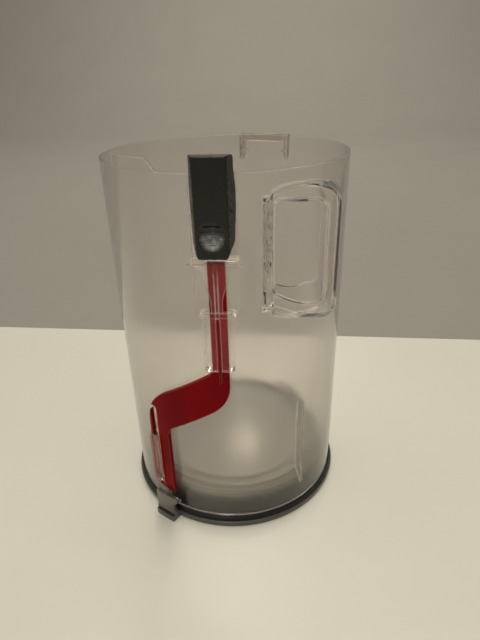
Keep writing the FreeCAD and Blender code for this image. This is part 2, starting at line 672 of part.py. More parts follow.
def upper_rod_guide():
    """Clear guide: two tongues over the rod with a slit between, a crossbar and a flared web."""
    c0, c1 = GUIDE_CHANNEL
    r0, r1 = GUIDE_FRONT_R
    cover = wrapped(box_points(GUIDE_X, GUIDE_Z, 1.8), ROD_R_IN - 2, r1)
    channel = wrapped(box_points(GUIDE_CHANNEL, (GUIDE_Z[0] - 5, WEB_TOP_Z + 5)), TUBE_R - 3, r0)
    bar = wrapped(box_points((-CROSSBAR_HALF, CROSSBAR_HALF), (CROSSBAR_LOW_Z, GUIDE_Z[1]), 0.4),
                  ROD_R_IN - 2, CROSSBAR_R)
    slit_low = GUIDE_Z[0] - 5
    slit = wrapped([(-GUIDE_SLIT_HALF, slit_low, 0), (GUIDE_SLIT_HALF, slit_low, 0),
                    (GUIDE_SLIT_HALF, GUIDE_SLIT_TOP_Z, 1.0), (-GUIDE_SLIT_HALF, GUIDE_SLIT_TOP_Z, 1.0)],
                   ROD_R_IN, r1 + 2)
    slot_over_rib = wrapped(box_points((-GUIDE_SLIT_HALF, GUIDE_SLIT_HALF), (slit_low, WEB_TOP_Z + 5)),
                            ROD_R_IN, RIB_R + 0.3)
    feet = []
    for inner, outer in ((c1, FOOT_X), (-FOOT_X, c0)):
        feet.append(block((inner, outer), (FOOT_FRONT_Y, -TUBE_R + 1), (FOOT_LOW_Z, WEB_TOP_Z)))
    solid = cover.fuse([bar, guide_web()] + feet)
    solid = solid.cut(channel).cut(slit).cut(slot_over_rib)
    return solid.cut(tube_outside()).cut(cylinder(PLATE_R, PLATE_Z[0])).removeSplitter()


def lower_rod_guide():
    """Clear rail in the rod's slot, with a head over the rod's edge and a wedge beside it."""
    rail = wrapped(box_points(RAIL, RAIL_Z, 2.2), TUBE_R - 3, RAIL_HEAD_R[1])
    head = wrapped(box_points(RAIL_HEAD, RAIL_Z, 3.0), *RAIL_HEAD_R)
    pad = wrapped(box_points((WEDGE_LEFT, RAIL[1]), (WEDGE_Z[0], RAIL_Z[1] - 1), 0.5), TUBE_R - 3, RAIL_PAD_R)
    wedge = wrapped([(WEDGE_LEFT, WEDGE_Z[0], 0), (ROD_LOWER[0] - 0.6, WEDGE_Z[0], 0),
                     (ROD_LOWER[0] - 0.6, WEDGE_Z[1], 0)], TUBE_R - 3, WEDGE_R)
    return rail.fuse([head, pad, wedge]).cut(tube_outside()).removeSplitter()


# ---- base flap ---------------------------------------------------------------------------
def flap_knuckle():
    """Middle knuckle of the hinge on its arm, at the flap's edge."""
    ring = rod_x(KNUCKLE_R, -KNUCKLE_HALF, KNUCKLE_HALF, -HINGE_R, HINGE_Z)
    arm = prism_x([(-HINGE_R - 2.4, 0, 1.5), (-HINGE_R + 2.6, 0, 0), (-HINGE_R + 2.6, HINGE_Z, 0),
                   (-HINGE_R - 2.4, HINGE_Z, 0)], -KNUCKLE_HALF, KNUCKLE_HALF)
    foot = block((-KNUCKLE_HALF, KNUCKLE_HALF), (-HINGE_R, -FLAP_R + 3), (0, FLAP_FLANGE_Z))
    hole = rod_x(HINGE_PIN_R + RUNNING_GAP, -KNUCKLE_HALF - 1, KNUCKLE_HALF + 1, -HINGE_R, HINGE_Z)
    return turned(ring.fuse([arm, foot]).cut(hole), HINGE_AZ)


def latch_foot():
    """Foot of the catch tongue, standing out of the flap's edge."""
    foot = block((-TONGUE_HALF, TONGUE_HALF), (-FOOT_R, -FLAP_R + 3), (0, FOOT_Z))
    foot = foot.common(cylinder(FOOT_R)).cut(cylinder(FLAP_R - 3))
    foot = foot.cut(cylinder(FLAP_R + 0.6, FLAP_FLANGE_Z))
    return turned(foot, LATCH_AZ)


def base_flap():
    """Smoked flap: flange, tapered plug wall, sloped ring and raised floor."""
    thick = FLAP_WALL
    section = [(0, FLOOR_Z - thick, 0), (DISH_R - 1, FLOOR_Z - thick, 2),
               (CONE_TOP_R - 3.4, CONE_TOP_Z - thick, 1.5),
               (CONE_FOOT_R - thick, FLAP_FLANGE_Z, 0), (CONE_FOOT_R - thick, 0, 0.5), (FLAP_R, 0, 0.8),
               (FLAP_R, FLAP_FLANGE_Z, 0.8), (CONE_FOOT_R, FLAP_FLANGE_Z, 0), (CONE_TOP_R, CONE_TOP_Z, 1),
               (DISH_R, FLOOR_Z, 2), (0, FLOOR_Z, 0)]
    return revolved(section).fuse([flap_knuckle(), latch_foot()]).removeSplitter()


def base_seal():
    """Black rubber boot: lip under the tube's edge, skin over the plug, bead round its top."""
    slope = (CONE_FOOT_R - CONE_TOP_R) / (CONE_TOP_Z - FLAP_FLANGE_Z)

    def cone(z):
        return CONE_FOOT_R - slope * (z - FLAP_FLANGE_Z)

    top = CONE_TOP_Z - 1.2
    lip = SEAL_LIP_TOP_Z
    section = [(cone(FLAP_FLANGE_Z), FLAP_FLANGE_Z, 0), (SEAL_LIP_R, FLAP_FLANGE_Z, 0.6),
               (SEAL_LIP_R, lip, 1.2),
               (cone(lip) + SEAL_THICK, lip, 0), (cone(top) + SEAL_THICK, SEAL_BEAD_Z, 1.4),
               (SEAL_BEAD_IN_R, SEAL_BEAD_Z, 1.0), (SEAL_BEAD_IN_R, CONE_TOP_Z + 0.2, 0),
               (cone(top) + 0.2, CONE_TOP_Z + 0.2, 0), (cone(top) + 0.2, top, 0), (cone(top), top, 0)]
    flap_core = revolved([(0, 0, 0), (CONE_FOOT_R, FLAP_FLANGE_Z, 0), (CONE_TOP_R, CONE_TOP_Z, 1),
                          (DISH_R, FLOOR_Z, 0), (0, FLOOR_Z, 0)])
    return revolved(section).cut(flap_core)


def base_catch_tongue():
    """Springy tongue on the flap's edge: snap nose inside, ear at its right-hand top."""
    r0, r1 = TONGUE_R
    half_thick = (r1 - r0) / 2
    plate = [(-TONGUE_HALF, TONGUE_PIVOT_Z, 0), (TONGUE_HALF, TONGUE_PIVOT_Z, 0),
             (TONGUE_HALF, TONGUE_EAR_Z - 2, 2),
             (TONGUE_HALF + TONGUE_EAR, TONGUE_EAR_Z + 1, 1.6), (TONGUE_HALF + TONGUE_EAR, TONGUE_TOP_Z, 1.6),
             (-TONGUE_HALF, TONGUE_TOP_Z, 1)]
    shape = prism_y(plate, -BIG / 4, -r0 + 8).common(cylinder(r1)).cut(cylinder(r0))
    root = rod_x(half_thick, -TONGUE_HALF, TONGUE_HALF, -TONGUE_PIVOT_R, TONGUE_PIVOT_Z)
    z0, z1, z2 = TONGUE_NOSE_Z
    nose = revolved([(r0 + 0.5, z0, 0), (TONGUE_NOSE_R, z0, 0), (TONGUE_NOSE_R, z1, 0), (r0 + 0.5, z2, 0)])
    width = block((-TONGUE_HALF + 1, TONGUE_HALF - 1), (-BIG / 4, 0), (0, BIG))
    return turned(shape.fuse([root, nose.common(width)]).removeSplitter(), LATCH_AZ)


# ---- hinge -------------------------------------------------------------------------------
def hinge_bracket():
    """Two clear lugs on a plate at the foot of the wall."""
    x0, x1 = BRACKET_X
    z0, z1 = BRACKET_Z
    plate = prism_y([(-x1, z0, 0), (x1, z0, 0), (x1, z1, 3), (-x1, z1, 3)], -BRACKET_PLATE_R, -TUBE_R + 3)
    pieces = []
    for low, high in ((x0, x1), (-x1, -x0)):
        pieces.append(rod_x(KNUCKLE_R - 0.1, low, high, -HINGE_R, HINGE_Z))
        pieces.append(block((low, high), (-HINGE_R, -TUBE_R + 3), (z0, HINGE_Z + KNUCKLE_R - 0.5)))
    bracket = plate.fuse(pieces).cut(tube_outside())
    hole = rod_x(HINGE_PIN_R, -x1 - 1, x1 + 1, -HINGE_R, HINGE_Z)
    return turned(bracket.cut(hole).removeSplitter(), HINGE_AZ)


def hinge_pin():
    """Steel pin of the base hinge, with a flat head."""
    x1 = BRACKET_X[1]
    pin = rod_x(HINGE_PIN_R, -x1, x1 + 0.6, -HINGE_R, HINGE_Z)
    head = rod_x(HINGE_PIN_HEAD_R, -x1 - HINGE_PIN_HEAD, -x1, -HINGE_R, HINGE_Z)
    head = head.makeFillet(0.4, [e for e in head.Edges if e.Closed and e.CenterOfMass.x < -x1 - 0.5])
    return turned(pin.fuse(head), HINGE_AZ)


NODES = [bin_tube, inlet_frame, rear_hook_bracket, catch_mount, catch_pivot_pin, catch_spring, cyclone_catch,
         push_rod, rod_return_spring, upper_rod_guide, lower_rod_guide, base_flap, base_seal,
         base_catch_tongue, hinge_bracket, hinge_pin]


def main():
    """Write one STEP file per piece."""
    os.makedirs("parts", exist_ok=True)
    for make in NODES:
        shape = make()
        shape.exportStep(f"parts/{make.__name__}.step")
        box = shape.BoundBox
        print(f"{make.__name__:20s} solids {len(shape.Solids)} valid {shape.isValid()} "
              f"volume {shape.Volume:10.1f}  x {box.XMin:.1f} {box.XMax:.1f}  "
              f"y {box.YMin:.1f} {box.YMax:.1f}  z {box.ZMin:.1f} {box.ZMax:.1f}")


main()
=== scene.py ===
"""Finishes and stage for a clear vacuum-cleaner dust bin. Metres, +Z up, the thumb catch faces -Y."""

import math

import bpy
from bpy.props import FloatProperty, FloatVectorProperty, IntProperty, PointerProperty
from mathutils import Matrix, Vector


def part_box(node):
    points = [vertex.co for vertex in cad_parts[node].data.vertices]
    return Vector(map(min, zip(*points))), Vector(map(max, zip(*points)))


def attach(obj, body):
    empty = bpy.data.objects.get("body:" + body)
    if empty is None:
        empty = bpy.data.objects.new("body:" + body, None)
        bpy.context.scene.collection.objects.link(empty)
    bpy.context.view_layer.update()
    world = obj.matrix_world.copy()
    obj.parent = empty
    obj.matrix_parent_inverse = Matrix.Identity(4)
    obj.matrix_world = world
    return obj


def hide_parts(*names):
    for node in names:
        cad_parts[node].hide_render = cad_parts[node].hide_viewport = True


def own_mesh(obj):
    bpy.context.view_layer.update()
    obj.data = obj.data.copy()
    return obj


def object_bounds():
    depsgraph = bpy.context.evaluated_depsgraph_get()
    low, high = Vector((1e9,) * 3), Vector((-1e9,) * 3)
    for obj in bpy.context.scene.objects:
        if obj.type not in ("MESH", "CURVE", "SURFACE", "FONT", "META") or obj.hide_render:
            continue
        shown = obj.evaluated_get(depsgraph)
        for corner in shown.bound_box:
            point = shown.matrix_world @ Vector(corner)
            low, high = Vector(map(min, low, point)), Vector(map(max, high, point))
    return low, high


bl_info = {
    "name": "Clear Dust Bin",
    "version": (1, 0, 0),
    "blender": (4, 5, 0),
    "location": "View3D > Sidebar > Dust Bin",
    "description": "Gives a clear dust bin its plastic, rubber and steel finishes, and sets a plain stage",
    "category": "Object",
}

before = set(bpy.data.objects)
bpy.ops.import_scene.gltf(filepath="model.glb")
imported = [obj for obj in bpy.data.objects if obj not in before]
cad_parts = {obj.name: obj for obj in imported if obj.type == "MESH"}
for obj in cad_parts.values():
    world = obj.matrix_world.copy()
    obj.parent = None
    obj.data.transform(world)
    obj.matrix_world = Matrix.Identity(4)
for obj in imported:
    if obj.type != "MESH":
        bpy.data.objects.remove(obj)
CAD_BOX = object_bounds()

# ---- fixed values ------------------------------------------------------------------------
# How strongly each piece bends light. The clear fittings' values are low, so the rod reads through them.
WALL_IOR = 1.46
INLET_IOR = 1.36
GUIDE_IOR = 1.26
RAIL_IOR = 1.22
MOUNT_IOR = 1.16
HOOK_IOR = 1.49
ROD_IOR = 1.50
CATCH_IOR = 1.54
BASE_IOR = 1.52
RUBBER_IOR = 1.50

# How worn each clear piece is, from 0 for new to 1 for scuffed all over
WALL_WEAR = 0.9
INLET_WEAR = 0.6
GUIDE_WEAR = 0.4
MOUNT_WEAR = 0.2
HOOK_WEAR = 0.8

FITTING_CLEARNESS = 0.995    # how much of the light goes through a clean fitting
MOUNT_HIGHLIGHT_SHARE = 0.3            # painted highlight on the catch mount's edges, as a share of the guides'
TONGUE_FROST = 0.16          # roughness of the tongue
TONGUE_CLEARNESS = 0.7       # how much of the light goes through the tongue
BASE_EDGE = 0.0005           # radius that the edges of the flap and tongue look rounded to
SEAL_EDGE = 0.0004           # radius that the seal's edges look rounded to
BEVEL_SAMPLES = 4            # samples that look for an edge nearby

# Dirt in the inlet's corner: where it starts and ends from the left side, and rises from the foot
CREVICE_FROM = (0.0020, 0.0027)
CREVICE_TO = (0.0052, 0.0062)
CREVICE_UP = (0.024, 0.034)
CREVICE_LEAST = 0.55         # least mark that counts as dirt there
# Dirt on the rear bracket, which thins out from its foot to its top
HOOK_DIRT_ABOVE_FOOT = 0.007
HOOK_DIRT_BELOW_TOP = 0.004
HOOK_DIRT_LEAST = 0.48
DIRT_TONE = (0.020, 0.014, 0.010)

COIL_STEPS = 28              # steps in one turn of the spring
COIL_SIDES = 10              # sides of its wire

# Floor and backdrop, which curves up behind the floor
SHEET_HALF_WIDTH = 4.0
FLOOR_NEAR = -3.0
CURVE_START = 2.0
CURVE_RADIUS = 1.0
CURVE_STEPS = 12
BACKDROP_TOP = 3.0

# Lamps: where they stand, how wide they are and the tone of their light
KEY_PLACE, KEY_SIZE, KEY_TONE = (-0.16, -1.15, 0.98), 0.26, (1.0, 0.96, 0.89)
TOP_PLACE, TOP_SIZE = (0.1, 0.15, 1.7), 1.4
REAR_PLACE, REAR_SIZE, REAR_TONE = (-0.065, 1.18, 1.05), 0.09, (1.0, 0.86, 0.66)
WASH_PLACE, WASH_TARGET, WASH_SIZE = (0.0, 1.7, 2.3), (0.0, 2.9, 0.7), 1.2
ROOM_TONE = (1.0, 0.965, 0.90)


# ---- settings ----------------------------------------------------------------------------
def colour(name, default, description):
    """A colour setting, in linear light."""
    return FloatVectorProperty(name=name, description=description, default=default,
                               subtype="COLOR", size=3, min=0.0, max=1.0)


def length(name, default, description):
    """A size setting, in metres."""
    return FloatProperty(name=name, description=description, default=default,
                         unit="LENGTH", subtype="DISTANCE", min=0.0, precision=5)


def share(name, default, description):
    """A setting from nothing to all."""
    return FloatProperty(name=name, description=description, default=default,
                         subtype="FACTOR", min=0.0, max=1.0)


def heights(name, default, description):
    """A pair of heights above the ground, in metres."""
    return FloatVectorProperty(name=name, description=description, default=default, size=2, unit="LENGTH")


def power(name, default, description):
    """A lamp's power, in watts."""
    return FloatProperty(name=name, description=description, default=default, min=0.0, unit="POWER")


def angle(name, degrees, description):
    """An angle setting, given in degrees."""
    return FloatProperty(name=name, description=description, default=math.radians(degrees), subtype="ANGLE")


def place(name, default, description):
    """A point, in metres."""
    return FloatVectorProperty(name=name, description=description, default=default, size=3,
                               subtype="TRANSLATION", unit="LENGTH")


def group(kind, name):
    """The settings of one finish or of the stage."""
    return PointerProperty(type=kind, name=name, description=kind.__doc__)


class ClearPlasticSettings(bpy.types.PropertyGroup):
    """Clear polycarbonate of the bin, its inlet and its fittings."""

    tint: colour("Tint", (0.875, 0.852, 0.822), "Colour of the round wall's clear plastic")
    tint_worn: colour("Worn tint", (0.835, 0.812, 0.780), "Colour where the round wall is hazed by dust")
    fitting_tint: colour("Fitting tint", (0.975, 0.962, 0.948), "Colour of the inlet, brackets and guides")
    fitting_worn: colour("Fitting wear", (0.935, 0.915, 0.890), "Share of the tint left where they are hazed")
    hook_tint: colour("Hook tint", (0.74, 0.69, 0.62), "Colour of the rear bracket, brown with handling")
    # Painted reflection: the clear lower guide is tinted red for the red rod's light in it.
    rail_red_reflection: colour("Rail tint", (0.86, 0.55, 0.50), "Colour of the lower guide, red from the rod")
    haze: share("Haze", 0.085, "Roughness of the scuffed round wall")
    fitting_haze: share("Fitting haze", 0.03, "Roughness of the clean inlet, brackets and guides")
    clearness: share("Clearness", 0.93, "How much of the light goes through the round wall")
    # Painted highlight: the edge colour, edge shares and edge bands below paint light caught along the clear
    # plastic's rounded edges.
    edge_highlight: colour("Edge", (0.93, 0.84, 0.78), "Paler colour along the moulded edges")
    edge_highlight_share: share("Edge cloud", 0.45, "How cloudy the moulded edges of the wall and inlet are")
    guide_highlight_share: share("Guide edge cloud", 0.42, "How cloudy the finer edges of the guides and brackets are")
    scratch: length("Scratch depth", 0.00001, "Depth of the fine scratches")
    edge: length("Edge radius", 0.0006, "Radius that the moulded edges look rounded to")
    edge_band: length("Edge band", 0.0014, "Reach of the paler colour from the edges of the wall and inlet")
    guide_band: length("Guide edge band", 0.0010, "Reach of the paler colour on the guides and brackets")
    dust_height: heights("Dust height", (0.030, 0.110), "Heights that the dusty film starts between")


class RodSettings(bpy.types.PropertyGroup):
    """Deep red plastic of the push rod."""

    red: colour("Red", (0.200, 0.0, 0.003), "Colour of the rod")
    red_deep: colour("Deep red", (0.150, 0.0, 0.002), "Colour in its darker flow marks")
    # Painted highlight along the rod's rounded edges.
    edge_highlight: colour("Edge", (0.50, 0.16, 0.14), "Paler colour along its rounded edges")
    gloss: share("Gloss roughness", 0.30, "Roughness of its moulded face")
    edge: length("Edge radius", 0.0007, "Radius that its edges look rounded to")


class CatchSettings(bpy.types.PropertyGroup):
    """Dark grey plastic of the thumb catch."""

    grey: colour("Grey", (0.0075, 0.0075, 0.0065), "Colour of the catch")
    # Rubbed edges, with painted sheen where the side facets catch the light.
    grey_worn_and_sheen: colour("Worn grey", (0.085, 0.085, 0.075), "Colour where its edges are rubbed")
    # Painted highlight on the lower half of the thumb hollow, which faces up to the light; the next two
    # settings place it.
    grey_painted_highlight: colour("Thumbed grey", (0.36, 0.36, 0.33), "Colour where the thumb has polished it")
    highlight_at: place("Thumb place", (0.0, -0.0862, 0.2108), "Where the thumb rubs the hollow")
    highlight_reach: length("Thumb reach", 0.0068, "How far the rubbed patch reaches")
    satin: share("Satin roughness", 0.24, "Roughness of its face")
    edge: length("Edge radius", 0.0006, "Radius that its edges look rounded to")


class BaseSettings(bpy.types.PropertyGroup):
    """Smoked plastic of the base flap and its tongue, and the black seal."""

    smoke: colour("Smoke", (0.205, 0.185, 0.148), "Colour of the smoked plastic")
    smoke_worn: colour("Worn smoke", (0.262, 0.236, 0.190), "Colour where dust has scoured it")
    # Painted shade: the smoked plastic is darker low down.
    smoke_painted_shade: colour("Low smoke", (0.062, 0.056, 0.046), "Colour low down, in the plastic's own shade")
    frost: share("Frost", 0.34, "Roughness of the scoured floor")
    polish: share("Polish", 0.6, "How much of the moulded gloss is left over the scoured plastic")
    clearness: share("Clearness", 0.30, "How much of the light goes through the smoked plastic")
    shade_height: heights("Shade height", (0.004, 0.019), "Heights that the low smoke ends between")
    rubber: colour("Rubber", (0.008, 0.0075, 0.007), "Colour of the seal")
    rubber_dust: colour("Rubber dust", (0.030, 0.028, 0.024), "Colour of the dust on the seal's lip")
    # Pale dust on the seal's boot, and painted light brightening its upright upper side.
    boot_dust_and_light: colour("Boot dust", (0.26, 0.235, 0.195), "Colour of the dust packed on the seal's boot")
    dust_height: heights("Dust height", (0.0135, 0.0225), "Heights that the boot's dust starts between")


class SteelSettings(bpy.types.PropertyGroup):
    """Steel of the pins and springs."""

    steel: colour("Steel", (0.55, 0.54, 0.52), "Colour of the bright steel")
    steel_dull: colour("Dull steel", (0.30, 0.29, 0.27), "Colour of its dull patches")
    brushed: share("Brushed roughness", 0.32, "Roughness of the drawn wire and pins")
    wire: length("Spring wire", 0.0005, "Diameter of the return spring's wire")
    turns: IntProperty(name="Spring turns", description="Turns of the return spring, closed ends included",
                       default=9, min=3, subtype="UNSIGNED")
    pressed_keep: share("Pressed length", 0.59, "Share of its length that the spring keeps when pressed")


class StageSettings(bpy.types.PropertyGroup):
    """Floor, backdrop, lamps and camera."""

    floor: colour("Floor", (0.785, 0.748, 0.632), "Colour of the floor")
    backdrop: colour("Backdrop", (0.345, 0.316, 0.268), "Colour of the backdrop")
    backdrop_gap: length("Backdrop distance", 0.2028, "How far behind the bin's axis the backdrop starts")
    backdrop_turn: angle("Backdrop turn", -2.47, "Turn of the backdrop's near edge")
    sky: share("Room light", 0.27, "Strength of the even room light")
    key: power("Key lamp", 5.0, "Power of the small bright lamp above the front")
    top: power("Top lamp", 10.5, "Power of the wide soft lamp overhead")
    rear: power("Rear lamp", 0.9, "Power of the small lamp behind")
    wash: power("Backdrop lamp", 32.0, "Power of the lamp on the backdrop")
    lens: FloatProperty(name="Lens", description="Focal length in millimetres", default=28.125, min=1.0,
                        unit="CAMERA")
    heading: angle("Camera heading", -4.07, "Turn of the view from straight ahead")
    pitch: angle("Camera pitch", 27.03, "How far the view looks down")
    roll: angle("Camera roll", -1.59, "Roll of the camera")
    camera_at: place("Camera place", (0.0292, -0.3214, 0.2864), "Where the camera stands")


class DustBinSettings(bpy.types.PropertyGroup):
    """All the settings of the dust bin."""

    clear: group(ClearPlasticSettings, "Clear plastic")
    rod: group(RodSettings, "Rod")
    catch: group(CatchSettings, "Catch")
    base: group(BaseSettings, "Base and seal")
    steel: group(SteelSettings, "Steel")
    stage: group(StageSettings, "Stage")


# ---- node building -----------------------------------------------------------------------
def new_finish(name):
    """A material with one Principled shader, and its node tree and shader."""
    finish = bpy.data.materials.new(name)
    finish.use_nodes = True
    tree = finish.node_tree
    return finish, tree, tree.nodes["Principled BSDF"]


def marks(tree, scale, detail=4.0, stretch=(1.0, 1.0, 1.0)):
    """Soft marks fixed to the piece, drawn out along an axis by stretch."""
    whole = tree.nodes.new("ShaderNodeTexCoord")
    drawn = tree.nodes.new("ShaderNodeMapping")
    drawn.inputs["Scale"].default_value = stretch
    noise = tree.nodes.new("ShaderNodeTexNoise")
    noise.inputs["Scale"].default_value = scale
    noise.inputs["Detail"].default_value = detail
    tree.links.new(whole.outputs["Object"], drawn.inputs["Vector"])
    tree.links.new(drawn.outputs["Vector"], noise.inputs["Vector"])
    return noise.outputs["Fac"]


def between(tree, value, low, high, start=0.35, end=0.65):
    """The value carried from start..end to low..high, held at both ends."""
    node = tree.nodes.new("ShaderNodeMapRange")
    node.clamp = True
    node.inputs["From Min"].default_value = start
    node.inputs["From Max"].default_value = end
    node.inputs["To Min"].default_value = low
    node.inputs["To Max"].default_value = high
    tree.links.new(value, node.inputs["Value"])
    return node.outputs["Result"]


def tones(tree, value, first, second):
    """A colour that goes from first to second as the value goes from 0 to 1; either may be a socket."""
    node = tree.nodes.new("ShaderNodeMix")
    node.data_type = "RGBA"
    tree.links.new(value, node.inputs["Factor"])
    for socket, tone in ((node.inputs["A"], first), (node.inputs["B"], second)):
        pick = [s for s in node.inputs if s.name == socket.name and s.type == "RGBA"][0]
        if isinstance(tone, bpy.types.NodeSocket):
            tree.links.new(tone, pick)
        else:
            pick.default_value = (*tone, 1.0)
    return [s for s in node.outputs if s.type == "RGBA"][0]


def reckon(tree, operation, first, second):
    """One clamped sum on two values; either may be a socket."""
    node = tree.nodes.new("ShaderNodeMath")
    node.operation = operation
    node.use_clamp = True
    for socket, value in zip(node.inputs, (first, second)):
        if isinstance(value, bpy.types.NodeSocket):
            tree.links.new(value, socket)
        else:
            socket.default_value = value
    return node.outputs[0]


def soft_edges(tree, radius):
    """The surface's direction with its sharp edges rounded to a radius."""
    node = tree.nodes.new("ShaderNodeBevel")
    node.samples = BEVEL_SAMPLES
    node.inputs["Radius"].default_value = radius
    return node.outputs["Normal"]


def coordinate(tree, axis):
    """Place along one axis, fixed to the piece. Along Z it is the height above the bin's foot at rest."""
    whole = tree.nodes.new("ShaderNodeTexCoord")
    parts = tree.nodes.new("ShaderNodeSeparateXYZ")
    tree.links.new(whole.outputs["Object"], parts.inputs["Vector"])
    return parts.outputs[axis]


def edge_mask(tree, rounded, full=0.80, none=0.99):
    """1 on the edges and 0 on the open faces, by how far the rounded direction turns away."""
    face = tree.nodes.new("ShaderNodeNewGeometry")
    match = tree.nodes.new("ShaderNodeVectorMath")
    match.operation = "DOT_PRODUCT"
    tree.links.new(rounded, match.inputs[0])
    tree.links.new(face.outputs["Normal"], match.inputs[1])
    return between(tree, match.outputs["Value"], 1.0, 0.0, full, none)


def relief(tree, shader, height, depth, strength=1.0, over=None):
    """Raises the surface by a height, over rounded edges when they are given."""
    node = tree.nodes.new("ShaderNodeBump")
    node.inputs["Strength"].default_value = strength
    node.inputs["Distance"].default_value = depth
    tree.links.new(height, node.inputs["Height"])
    if over is not None:
        tree.links.new(over, node.inputs["Normal"])
    tree.links.new(node.outputs["Normal"], shader.inputs["Normal"])


# ---- finishes ----------------------------------------------------------------------------
def clear_plastic(name, settings, look, wear):
    """Clear polycarbonate with a dusty haze, upright scuffs, fine scratches and a painted highlight along its
    edges.
    """
    finish, tree, shader = new_finish(name)
    smudges = marks(tree, scale=26.0, detail=5.0, stretch=(1.0, 1.0, 0.45))
    scuffs = marks(tree, scale=420.0, detail=3.0, stretch=(1.0, 1.0, 0.05))
    hazed = between(tree, smudges, 0.0, wear)
    scuffed = between(tree, scuffs, 0.0, wear * 0.5, start=0.58, end=0.70)
    worn = reckon(tree, "ADD", hazed, scuffed)
    rounded = soft_edges(tree, settings.edge)
    # Painted highlight along the edges: a paler colour, and less light let through.
    edges = edge_mask(tree, soft_edges(tree, look["edge_band"]), full=0.72, none=0.97)
    body = tones(tree, worn, look["tint"], look["tint_worn"])
    tree.links.new(tones(tree, edges, body, settings.edge_highlight), shader.inputs["Base Color"])
    haze = look["haze"]
    worn_haze = haze * 1.6 + 0.03
    tree.links.new(between(tree, worn, haze, worn_haze, start=0.0, end=1.0), shader.inputs["Roughness"])
    film = between(tree, coordinate(tree, "Z"), 0.0, 1.0 - look["clearness"], *settings.dust_height)
    # Less light let through where there is dust film by height, and where the edge highlight is painted.
    cloudy = reckon(tree, "MAXIMUM", film, reckon(tree, "MULTIPLY", edges, look["edge_highlight_share"]))
    tree.links.new(reckon(tree, "SUBTRACT", 1.0, cloudy), shader.inputs["Transmission Weight"])
    shader.inputs["IOR"].default_value = look["ior"]
    relief(tree, shader, scuffs, settings.scratch, strength=0.12, over=rounded)
    return finish


def fitting_look(settings, tint, ior, band, cloud):
    """The look of a clean clear fitting: its tints, haze, clearness, bending of light and painted edge
    highlights.
    """
    return {"tint": tint, "tint_worn": tuple(a * b for a, b in zip(tint, settings.fitting_worn)),
            "haze": settings.fitting_haze, "clearness": FITTING_CLEARNESS, "ior": ior, "edge_band": band,
            "edge_highlight_share": cloud}


def specks(tree, shader, where, least):
    """Brown lint and dirt caught where the mask says, fewer as the least mark that counts goes up."""
    fine = marks(tree, scale=900.0, detail=2.0, stretch=(1.0, 1.0, 0.45))
    flecks = between(tree, fine, 0.0, 1.0, start=least, end=least + 0.04)
    clumps = between(tree, marks(tree, scale=230.0, detail=2.0), 0.0, 1.0, start=0.47, end=0.53)
    mask = reckon(tree, "MULTIPLY", where, reckon(tree, "MULTIPLY", flecks, clumps))
    clean = shader.inputs["Base Color"].links[0].from_socket
    through = shader.inputs["Transmission Weight"].links[0].from_socket
    tree.links.new(tones(tree, mask, clean, DIRT_TONE), shader.inputs["Base Color"])
    tree.links.new(reckon(tree, "SUBTRACT", through, mask), shader.inputs["Transmission Weight"])


def dirt_in_crevice(tree, shader, box):
    """Dirt along the inner left corner of the inlet's mouth."""
    low = box[0]
    across = coordinate(tree, "X")
    past = between(tree, across, 0.0, 1.0, *(low.x + step for step in CREVICE_FROM))
    short_of = between(tree, across, 1.0, 0.0, *(low.x + step for step in CREVICE_TO))
    upper = between(tree, coordinate(tree, "Z"), 0.0, 1.0, *(low.z + step for step in CREVICE_UP))
    band = reckon(tree, "MULTIPLY", past, short_of)
    specks(tree, shader, reckon(tree, "MULTIPLY", band, upper), CREVICE_LEAST)


def red_plastic(settings):
    """Deep red glossy plastic with flow marks, a painted highlight along its edges and fine scuffs."""
    finish, tree, shader = new_finish("rod_red_plastic")
    rounded = soft_edges(tree, settings.edge)
    flow = between(tree, marks(tree, scale=38.0, detail=3.0, stretch=(1.0, 1.0, 0.6)), 0.0, 1.0)
    body = tones(tree, flow, settings.red, settings.red_deep)
    # Painted highlight: the rod's edges get a paler red.
    pale_edges = reckon(tree, "MULTIPLY", edge_mask(tree, rounded), 0.75)
    tree.links.new(tones(tree, pale_edges, body, settings.edge_highlight), shader.inputs["Base Color"])
    scuffs = marks(tree, scale=600.0, detail=3.0, stretch=(1.0, 1.0, 0.12))
    tree.links.new(between(tree, scuffs, settings.gloss, settings.gloss + 0.14), shader.inputs["Roughness"])
    shader.inputs["IOR"].default_value = ROD_IOR
    shader.inputs["Specular IOR Level"].default_value = 0.06
    relief(tree, shader, scuffs, depth=0.00002, strength=0.4, over=rounded)
    return finish


def hollow_highlight(tree, settings):
    """Painted highlight: 1 in the lower part of the thumb hollow, which faces up to the light, fading to 0
    around it.
    """
    whole = tree.nodes.new("ShaderNodeTexCoord")
    reach = tree.nodes.new("ShaderNodeVectorMath")
    reach.operation = "DISTANCE"
    tree.links.new(whole.outputs["Object"], reach.inputs[0])
    reach.inputs[1].default_value = settings.highlight_at
    rim, middle = settings.highlight_reach, settings.highlight_at[2]
    near = between(tree, reach.outputs["Value"], 1.0, 0.0, start=0.6 * rim, end=rim)
    lower = between(tree, coordinate(tree, "Z"), 1.0, 0.12, start=middle, end=middle + 0.4 * rim)
    patchy = between(tree, marks(tree, scale=420.0, detail=3.0), 0.35, 1.0)
    return reckon(tree, "MULTIPLY", reckon(tree, "MULTIPLY", near, lower), patchy)


